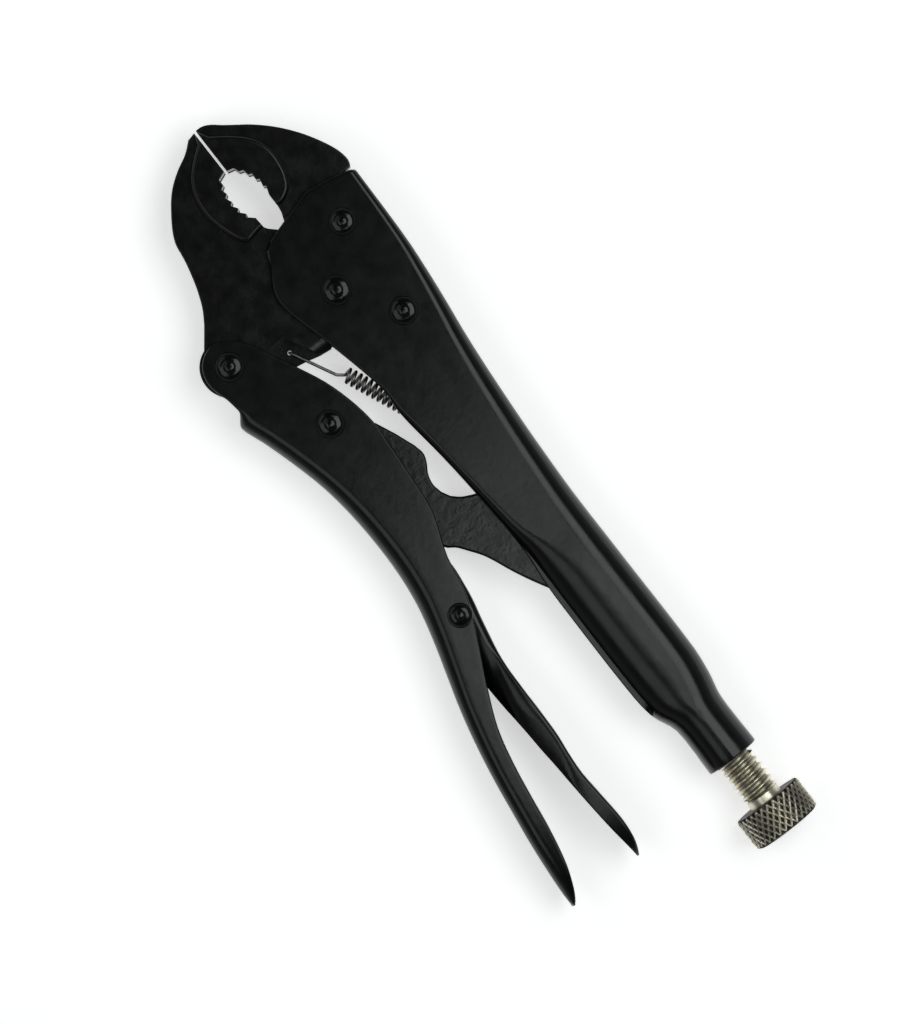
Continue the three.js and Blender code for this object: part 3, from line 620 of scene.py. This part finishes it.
LINK_HALF = 3.5
link_outline = arc(*LINK_PIVOT, 7, 0.25 * math.pi, 1.6 * math.pi, 26)
link_outline += curve(
    [(33, -30.3), (42, -29.2), (56, -26.4), (66, -22.6), (72.5, -19.6), (74.4, -17.3)]
    + [(76.8, -15.5), (81.1, -12.6), (89.6, -8.9), (96.5, -5.4), (101, -2.6), (105.5, 1.2)]
)
link_outline += arc(105.5, 6.75, 4.5, -1.1, 0.56 * math.pi, 14)
link_outline += curve(
    [(96, 10), (84, 6.8), (74, 3.8), (68.6, 0.8), (65.6, -5.3), (64.3, -7.8), (62.4, -9.9)]
)
link_outline += curve(
    [(60, -11.2), (57, -11.7), (54, -11), (51.5, -9.5), (48.9, -8.6), (45.6, -9.2)]
)
link_outline += curve([(40, -11.3), (34.4, -13.8)])
shape = blank(link_outline, -LINK_HALF, LINK_HALF)
round_rims(shape, flat_rims(shape), 0.7, 3)

# Enamel over a coarse forged skin: the hammered scale makes a lumpy, broken gloss.
scaled_enamel = enamel(
    "black_enamel_on_scaled_forging", "#050505", "#0c0c0c", (0.2, 0.32), grain_mm=1.6, depth_mm=0.1
)
shape = carved(shape, [bar(*LINK_PIVOT, 2.9)])
toggle_link = make_piece("toggle_link_forging", shape, scaled_enamel)
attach(toggle_link, "link")
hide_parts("toggle_link")

# ---------------------------------------------------------------- release lever
# A small channel of 1.8 mm sheet, narrow where it sits between the moving handle's cheeks.
# Behind them its back flares out sideways to make a comfortable press for the fingers.

LEVER_SHEET = 1.8
# x, back, lower edge, half width of the back, half width of the lower edge, height of the crease
lever_rows = [
    (75, -21.2, -22.4, 4.3, 4.3, -22.2), (78, -21, -24.5, 4.5, 4.4, -22.8),
    (82, -21.4, -29, 4.5, 4.2, -23.4), (88, -22.3, -32, 4.5, 4.1, -24.3),
    (93, -23.5, -32.6, 4.5, 3.9, -25.4), (100, -25, -33, 4.5, 3.1, -26.9),
    (104, -25.8, -33.5, 4.7, 2.7, -27.3), (109, -26.3, -33.9, 5.5, 2.7, -28.6),
    (113, -26.4, -33.8, 6.2, 3.1, -29.8), (117, -26.5, -33.6, 6.7, 3.9, -30.6),
    (121, -26.5, -33.3, 7, 4.8, -30), (126, -26.6, -33, 7, 5.2, -29),
    (131, -26.8, -32.8, 7, 5.3, -29), (137, -27.5, -32.4, 7, 5.7, -29.7),
    (143, -27.9, -32.1, 7, 6.5, -31), (150, -27.5, -31.7, 7, 7, -31.1),
    (159.5, -27, -31, 6.7, 6.7, -30.4), (165, -27.5, -30.4, 5.6, 5.6, -29.9),
    (168, -28.4, -30.1, 4.1, 4.1, -29.7), (170, -29.4, -30, 2, 2, -29.8),
]


def lever_loop(x):
    """The sheet's outline across one half of the release lever, from its back round the edge."""
    top, low, wide, narrow, crease = along(lever_rows, x)
    wall = min(LEVER_SHEET, (top - low) * 0.8, wide * 0.8)
    fold = min(1.9 - 1.1 * ease(x, 99, 106), (top - low) * 0.45, wide - 0.1)
    crease = min(max(crease, low + 0.5), top - fold - 0.05)
    edge = min(0.35, wall * 0.4, (top - low) * 0.2)
    points = [(0, top)] + bend(wide - fold, top - fold, fold, 90, 0, 6) + [(wide, crease)]
    points += bend(narrow - edge, low + edge, edge, 0, -90, 3)
    points += bend(narrow - wall + edge, low + edge, edge, 270, 180, 3)
    ceiling = max(top - wall, low + edge)
    points += [(wide - wall, min(crease, ceiling - 0.005)), (wide - wall, ceiling), (0, ceiling)]
    return [(x, y, max(z, 0)) for z, y in points]


stations = [75, 75.3, 76] + steps(77.5, 159.5, 2)
stations += [161.5, 163.3, 165, 166.5, 167.7, 168.7, 169.5, 170]
shape = carved(folded_sheet([lever_loop(x) for x in stations]), [bar(*LEVER_PIVOT, 2.4)])
release_lever = make_piece("release_lever_channel", shape, pressed_enamel)
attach(release_lever, "lever")
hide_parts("release_lever")

# ---------------------------------------------------------------- rivets
# Six mild steel rivets through both cheeks. Their heads are upset cold, which leaves a low
# dome with a raised button in its middle, and enamelled with the rest.

# name, body, x, y, radius of the shank and of the head
rivets = [
    ("main_pivot_rivet", "fixed_side", 0, 0, 3, 4.2),
    ("front_jaw_rivet", "fixed_side", -13.6, 12.5, 2.8, 3.8),
    ("rear_jaw_rivet", "fixed_side", 15.4, 10.8, 2.8, 3.95),
    ("jaw_handle_rivet", "grip", *JAW_PIVOT, 2.8, 4.0),
    ("link_rivet", "grip", *LINK_PIVOT, 2.8, 3.9),
    ("lever_rivet", "grip", *LEVER_PIVOT, 2.3, 3.45),
]
# Share of the head's radius, height over the cheek
head_profile = [
    (0, 1.86), (0.16, 1.83), (0.3, 1.72), (0.38, 1.52), (0.44, 1.36), (0.56, 1.28),
    (0.7, 1.14), (0.83, 0.9), (0.93, 0.6), (0.985, 0.32), (1, 0.08), (0.97, 0.03),
]

# Gloss enamel, thick on the small heads: it pools at their feet and gives sharp lights.
rivet_enamel = enamel(
    "gloss_black_enamel_on_rivets", "#050505", "#090909", (0.12, 0.2), grain_mm=1.4, depth_mm=0.05
)


def turned(points, axis, count):
    """A round piece: a line of points about an axis through the origin, spun a full turn."""
    shape = bmesh.new()
    line = [shape.verts.new(point) for point in points]
    edges = [shape.edges.new(pair) for pair in zip(line, line[1:])]
    bmesh.ops.spin(
        shape,
        geom=line + edges,
        cent=(0, 0, 0),
        axis=axis,
        angle=2 * math.pi,
        steps=count,
        use_merge=True,
    )
    bmesh.ops.remove_doubles(shape, verts=shape.verts[:], dist=1e-4)
    bmesh.ops.recalc_face_normals(shape, faces=shape.faces[:])
    return shape


for name, body, x, y, shank, head in rivets:
    upper = [(head * share, 0, CHEEK + rise) for share, rise in head_profile]
    upper += [(shank, 0, CHEEK + 0.02)]
    lower = [(r, 0, -z) for r, _, z in reversed(upper)]
    shape = turned(upper + lower, (0, 0, 1), 40)
    bmesh.ops.translate(shape, vec=(x, y, 0), verts=shape.verts[:])
    rivet = make_piece(name + "_upset", shape, rivet_enamel)
    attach(rivet, body)
    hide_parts(name)

# ---------------------------------------------------------------- adjusting screw
# A steel screw with a coarse thread of 2.1 mm pitch, cut, then nickel plated. It runs in the
# tube at the handle's rear, and its tip sets where the toggle link bears.

SCREW_Y = 6.75
PITCH = 2.1
CREST = 5.4
ROOT = 4.25
SCREW_TIP = 112.8
THREAD_END = 177.4
KNOB_START = 179.6
TURN_STEPS = 28


def on_tool(x, y):
    """A place in the frame, from millimetres about the main pivot."""
    return main_pivot + Vector((x, y, 0)) * MM


def nickel(name, dark, light, low, high, gloss, grain_mm):
    """Nickel plate with painted shade: bright and faintly warm on what stands out, its colour
    painted darker and its gloss duller towards the grooves.
    The height between low and high is taken round the screw's axis, in millimetres."""
    material, tree, shader, place = new_finish(name)
    shader.inputs["Metallic"].default_value = 1.0
    about = node(
        tree, "ShaderNodeVectorMath", {"operation": "SUBTRACT", 1: on_tool(0, SCREW_Y)}, {0: place}
    )
    across = node(
        tree,
        "ShaderNodeVectorMath",
        {"operation": "MULTIPLY", 1: (0, 1, 1)},
        {0: about.outputs["Vector"]},
    )
    height = node(
        tree, "ShaderNodeVectorMath", {"operation": "LENGTH"}, {0: across.outputs["Vector"]}
    )
    rise = node(
        tree,
        "ShaderNodeMapRange",
        {"From Min": low * MM, "From Max": high * MM},
        {"Value": height.outputs["Value"]},
    )
    stain = node(tree, *noise(place, 2.5, 4))
    shifted = node(
        tree, "ShaderNodeMath", {"operation": "SUBTRACT", 1: 0.25}, {0: rise.outputs["Result"]}
    )
    groove_shade_and_stain = node(
        tree,
        "ShaderNodeMath",
        {"operation": "MULTIPLY_ADD", 1: 0.5},
        {0: stain.outputs["Fac"], 2: shifted.outputs["Value"]},
    )
    # Painted shade: the colour runs from the dark shade in the grooves to the light nickel on the
    # crests, with a random stain mixed in.
    tint = node(
        tree,
        "ShaderNodeMix",
        {"data_type": "RGBA", 6: linear(dark), 7: linear(light)},
        {"Factor": groove_shade_and_stain.outputs["Value"]},
    )
    tree.links.new(shader.inputs["Base Color"], tint.outputs[2])
    dull = node(
        tree,
        "ShaderNodeMapRange",
        {"To Min": gloss[1], "To Max": gloss[0]},
        {"Value": groove_shade_and_stain.outputs["Value"]},
    )
    tree.links.new(shader.inputs["Roughness"], dull.outputs["Result"])
    grain = node(tree, *noise(place, grain_mm, 2))
    relief = node(
        tree, "ShaderNodeBump", {"Distance": 0.03 * MM}, {"Height": grain.outputs["Fac"]}
    )
    tree.links.new(shader.inputs["Normal"], relief.outputs["Normal"])
    return material


# One turn of the thread's outline along the axis: flat root, flank, narrow crest, flank.
thread = [(0.0, ROOT), (0.55, ROOT), (1.12, CREST - 0.08), (1.2, CREST), (1.4, CREST)]
thread += [(1.48, CREST - 0.08), (2.1, ROOT)]


def trim(shape, place, way):
    """Cuts off what lies beyond a plane through a place, on the side that it faces."""
    bmesh.ops.bisect_plane(
        shape,
        geom=shape.verts[:] + shape.edges[:] + shape.faces[:],
        dist=1e-5,
        plane_co=place,
        plane_no=way,
        clear_outer=True,
    )


shape = bmesh.new()
line = [shape.verts.new((SCREW_TIP - 2 * PITCH + x, radius, 0)) for x, radius in thread]
edges = [shape.edges.new(pair) for pair in zip(line, line[1:])]
turns = math.ceil((THREAD_END - SCREW_TIP) / PITCH) + 3
bmesh.ops.spin(
    shape,
    geom=line + edges,
    cent=(0, 0, 0),
    axis=(1, 0, 0),
    dvec=(PITCH / TURN_STEPS, 0, 0),
    angle=2 * math.pi * turns,
    steps=TURN_STEPS * turns,
)
bmesh.ops.remove_doubles(shape, verts=shape.verts[:], dist=1e-3)
trim(shape, (SCREW_TIP, 0, 0), (-1, 0, 0))
trim(shape, (THREAD_END, 0, 0), (1, 0, 0))
bmesh.ops.holes_fill(shape, edges=[e for e in shape.edges if e.is_boundary])
bmesh.ops.recalc_face_normals(shape, faces=shape.faces[:])
# The plain neck between the thread and the knob: x, radius.
neck = [(THREAD_END - 0.6, 0), (THREAD_END - 0.6, ROOT - 0.1), (THREAD_END, 4.7)]
neck += [(THREAD_END + 0.4, 4.9), (KNOB_START + 0.2, 4.9), (KNOB_START + 0.2, 0)]
collar = turned([(x, radius, 0) for x, radius in neck], (1, 0, 0), 48)
collar_mesh = bpy.data.meshes.new("collar")
collar.to_mesh(collar_mesh)
collar.free()
shape.from_mesh(collar_mesh)
bmesh.ops.translate(shape, vec=(0, SCREW_Y, 0), verts=shape.verts[:])

# Nickel plate on a cut thread: bright warm crests, with painted shade darkening the grooves.
screw_nickel = nickel(
    "nickel_plate_on_thread",
    "#565142",
    "#f0ead6",
    low=ROOT - 0.4,
    high=CREST - 0.1,
    gloss=(0.24, 0.45),
    grain_mm=0.5,
)
screw = make_piece("adjusting_screw_thread", shape, screw_nickel)
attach(screw, "screw")
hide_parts("adjusting_screw")

# ---------------------------------------------------------------- adjusting knob
# A turned steel knob pressed on the screw's end. Its rim is rolled with a coarse diamond
# knurl: fine raised ridges cross round sunk pits. It is nickel plated, like the screw.

KNOB_END = 189.2
KNOB_RADIUS = 10.2
KNURLS = 32
KNURL_DEPTH = 0.42
KNURL_LEAN = math.radians(36)
RIDGE_SHARE = 0.31

around = 2 * math.pi * KNOB_RADIUS
wide = around / KNURLS
long = wide / math.tan(KNURL_LEAN)
rows = math.ceil((KNOB_END - KNOB_START) / long) + 2
cells = KNURLS + rows + 4
shape = bmesh.new()
bmesh.ops.create_grid(shape, x_segments=cells, y_segments=cells, size=cells / 2)
lattice = Matrix(((wide / 2, -wide / 2, 0), (long / 2, long / 2, 0), (0, 0, 1)))
bmesh.ops.transform(shape, matrix=lattice.to_4x4(), verts=shape.verts[:])
bmesh.ops.translate(shape, vec=(around / 2, (KNOB_END - KNOB_START) / 2, 0), verts=shape.verts[:])
far = [
    f
    for f in shape.faces
    if not -wide < f.calc_center_median().x < around + wide
    or not -long < f.calc_center_median().y < KNOB_END - KNOB_START + long
]
bmesh.ops.delete(shape, geom=far, context="FACES")
bmesh.ops.inset_individual(
    shape, faces=shape.faces[:], thickness=wide * RIDGE_SHARE, depth=-KNURL_DEPTH
)
trim(shape, (0, 0, 0), (-1, 0, 0))
trim(shape, (around, 0, 0), (1, 0, 0))
trim(shape, (0, 0, 0), (0, -1, 0))
trim(shape, (0, KNOB_END - KNOB_START, 0), (0, 1, 0))

# The flat strip is wound round the knob, and its two rims are rounded off.
for vert in shape.verts:
    u, v, rise = vert.co
    drop = 0.0
    for gap, size in ((v, 0.45), (KNOB_END - KNOB_START - v, 1.25)):
        if gap < size:
            drop = max(drop, size - math.sqrt(max(size**2 - (size - gap) ** 2, 0)))
    radius = KNOB_RADIUS - abs(rise) - drop
    turn = 2 * math.pi * u / around
    vert.co = (KNOB_START + v, radius * math.cos(turn), radius * math.sin(turn))
bmesh.ops.remove_doubles(shape, verts=shape.verts[:], dist=2e-3)
bmesh.ops.holes_fill(shape, edges=[e for e in shape.edges if e.is_boundary])
bmesh.ops.recalc_face_normals(shape, faces=shape.faces[:])
bmesh.ops.translate(shape, vec=(0, SCREW_Y, 0), verts=shape.verts[:])

# Nickel plate on a rolled knurl: bright on the ridges, with painted shade darkening the pits.
knob_nickel = nickel(
    "nickel_plate_on_knurl",
    "#2b281f",
    "#f0ead8",
    low=KNOB_RADIUS - KNURL_DEPTH + 0.03,
    high=KNOB_RADIUS - 0.15,
    gloss=(0.24, 0.5),
    grain_mm=0.6,
)
knob = make_piece("adjusting_knob_knurled", shape, knob_nickel)
knob.data.set_sharp_from_angle(angle=math.radians(20))
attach(knob, "knob")
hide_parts("adjusting_knob")

# ---------------------------------------------------------------- tension spring
# Drawn spring wire, 0.9 mm thick, wound to a coil 4.8 mm across. One end hooks into the
# jaw's tail and the other into a tab inside the handle, and it pulls the jaws open.

WIRE = 0.9
COIL_RADIUS = 1.95
COIL_PITCH = 1.62
COIL_LENGTH = 44.0
COIL_TURNS = 27
TURN_POINTS = 16
COIL_TILT = 0.3927
COIL_FRONT = (19.0, -12.0)
HOOK_REAR = (75.0, 11.2)

forward = Vector((math.cos(COIL_TILT), math.sin(COIL_TILT), 0))
sideways = Vector((-forward.y, forward.x, 0))
route = [Vector((*HOOK_FRONT, z)) for z in (-3.0, -1.6, -0.9, -0.45)]
route.append(Vector((HOOK_FRONT[0] + 0.35, HOOK_FRONT[1] + 0.2, -0.08)))
lead = Vector((*COIL_FRONT, 0)) - sideways * 1.35 - forward * 0.9
for share in (0.08, 0.3, 0.55, 0.8, 0.93):
    route.append(Vector((*HOOK_FRONT, 0)).lerp(lead, share))
coil_points = COIL_TURNS * TURN_POINTS
for i in range(coil_points + 1):
    turn = 2 * math.pi * i / TURN_POINTS - 2.2
    spread = ease(i, -4, 8) * ease(coil_points - i, -4, 8)
    reach = forward * (COIL_LENGTH * i / coil_points)
    radius = COIL_RADIUS * max(spread, 0.3)
    swing = sideways * (radius * math.cos(turn))
    route.append(Vector((*COIL_FRONT, 0)) + reach + swing + Vector((0, 0, radius * math.sin(turn))))
rear = route[-1].copy()
for share in (0.25, 0.5, 0.75, 0.94):
    route.append(rear.lerp(Vector((*HOOK_REAR, 0)), share))
route += [Vector((*HOOK_REAR, z)) for z in (-0.5, -1.2, -2.2, -3.2)]

wire_curve = bpy.data.curves.new("spring_wire", "CURVE")
wire_curve.dimensions = "3D"
wire_curve.bevel_depth = WIRE / 2
wire_curve.bevel_resolution = 2
wire_curve.use_fill_caps = True
spline = wire_curve.splines.new("POLY")
spline.points.add(len(route) - 1)
for point, place in zip(spline.points, route):
    point.co = (*place, 1)
wire = bpy.data.objects.new("spring_wire", wire_curve)
bpy.context.scene.collection.objects.link(wire)
drawn = wire.evaluated_get(bpy.context.evaluated_depsgraph_get())
shape = bmesh.new()
shape.from_mesh(bpy.data.meshes.new_from_object(drawn))
bpy.data.objects.remove(wire)
bmesh.ops.remove_doubles(shape, verts=shape.verts[:], dist=1e-4)
bmesh.ops.recalc_face_normals(shape, faces=shape.faces[:])

# Drawn spring steel: bright grey with fine marks along the wire and a dull oil film.
spring_steel, tree, shader, place = new_finish("drawn_spring_steel")
shader.inputs["Metallic"].default_value = 1.0
film = node(tree, *noise(place, 1.5, 3))
tint = node(
    tree,
    "ShaderNodeMix",
    {"data_type": "RGBA", 6: linear("#4a4a49"), 7: linear("#b4b3ae")},
    {"Factor": film.outputs["Fac"]},
)
tree.links.new(shader.inputs["Base Color"], tint.outputs[2])
dull = node(
    tree,
    "ShaderNodeMapRange",
    {"To Min": 0.25, "To Max": 0.45},
    {"Value": film.outputs["Fac"]},
)
tree.links.new(shader.inputs["Roughness"], dull.outputs["Result"])
spring = make_piece("tension_spring_coil", shape, spring_steel)
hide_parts("tension_spring")
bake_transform(spring)

# ---------------------------------------------------------------- bench, light and camera
# A pale matt bench, painted white and faintly lit from within, so that soft light reaches the
# gaps of the tool. Soft lamps stand round it, and the camera looks straight down.

# Matt white paint: nearly even, with a very slight mottle, and no gloss.
bench_paint, tree, shader, place = new_finish("matt_white_paint")
mottle = node(tree, *noise(place, 60, 2))
tint = node(
    tree,
    "ShaderNodeMix",
    {"data_type": "RGBA", 6: linear("#f6f6f6"), 7: linear("#fbfbfb")},
    {"Factor": mottle.outputs["Fac"]},
)
tree.links.new(shader.inputs["Base Color"], tint.outputs[2])
shader.inputs["Roughness"].default_value = 0.9
shader.inputs["Specular IOR Level"].default_value = 0.1
shader.inputs["Emission Color"].default_value = linear("#ffffff")
shader.inputs["Emission Strength"].default_value = 0.56
shape = bmesh.new()
bmesh.ops.create_grid(shape, x_segments=1, y_segments=1, size=1.6)
bench_mesh = bpy.data.meshes.new("bench")
shape.to_mesh(bench_mesh)
shape.free()
bench_mesh.materials.append(bench_paint)
bench = bpy.data.objects.new("bench", bench_mesh)
bpy.context.scene.collection.objects.link(bench)

middle = on_tool(66.0, -12.4)


def lamp(name, azimuth, elevation, distance, size, power):
    """A soft lamp that faces the pliers, in degrees, metres and watts. Its azimuth is taken
    from +X towards +Y, and its light is a little cool."""
    data = bpy.data.lights.new(name, "AREA")
    data.shape = "RECTANGLE"
    data.size, data.size_y = size
    data.energy = power
    data.color = (0.95, 1.0, 1.0)
    a, e = math.radians(azimuth), math.radians(elevation)
    away = Vector((math.cos(a) * math.cos(e), math.sin(a) * math.cos(e), math.sin(e)))
    made = bpy.data.objects.new(name, data)
    made.location = middle + away * distance
    made.rotation_euler = (-away).to_track_quat("-Z", "Y").to_euler()
    bpy.context.scene.collection.objects.link(made)


lamp("back_lamp", 75, 64, 1.2, (0.9, 0.6), 4.6)
lamp("front_lamp", -100, 60, 1.2, (0.8, 0.5), 1.5)
lamp("jaw_lamp", 205, 42, 1.1, (0.8, 0.4), 0.7)
lamp("rear_lamp", 14, 82, 0.45, (0.13, 0.13), 0.12)

# The room is dim overhead and brighter round its walls.
world = bpy.data.worlds.new("studio")
world.use_nodes = True
tree = world.node_tree
toward = node(tree, "ShaderNodeTexCoord").outputs["Generated"]
height = node(tree, "ShaderNodeSeparateXYZ", {}, {"Vector": toward})
glow = node(
    tree,
    "ShaderNodeMapRange",
    {
        "interpolation_type": "SMOOTHSTEP",
        "From Min": 0.15,
        "From Max": 0.75,
        "To Min": 0.3,
        "To Max": 0.04,
    },
    {"Value": height.outputs["Z"]},
)
tree.nodes["Background"].inputs["Color"].default_value = linear("#ffffff")
tree.links.new(tree.nodes["Background"].inputs["Strength"], glow.outputs["Result"])
bpy.context.scene.world = world
bpy.context.scene.view_settings.view_transform = "Standard"

camera_data = bpy.data.cameras.new("camera")
camera_data.lens = 195
camera_data.sensor_width = 36
camera_data.sensor_fit = "AUTO"
camera_data.clip_end = 10
camera = bpy.data.objects.new("camera", camera_data)
camera.location = middle + Vector((0, 0, 1.4977))
camera.rotation_euler = (0, 0, math.radians(52))
bpy.context.scene.collection.objects.link(camera)
bpy.context.scene.camera = camera
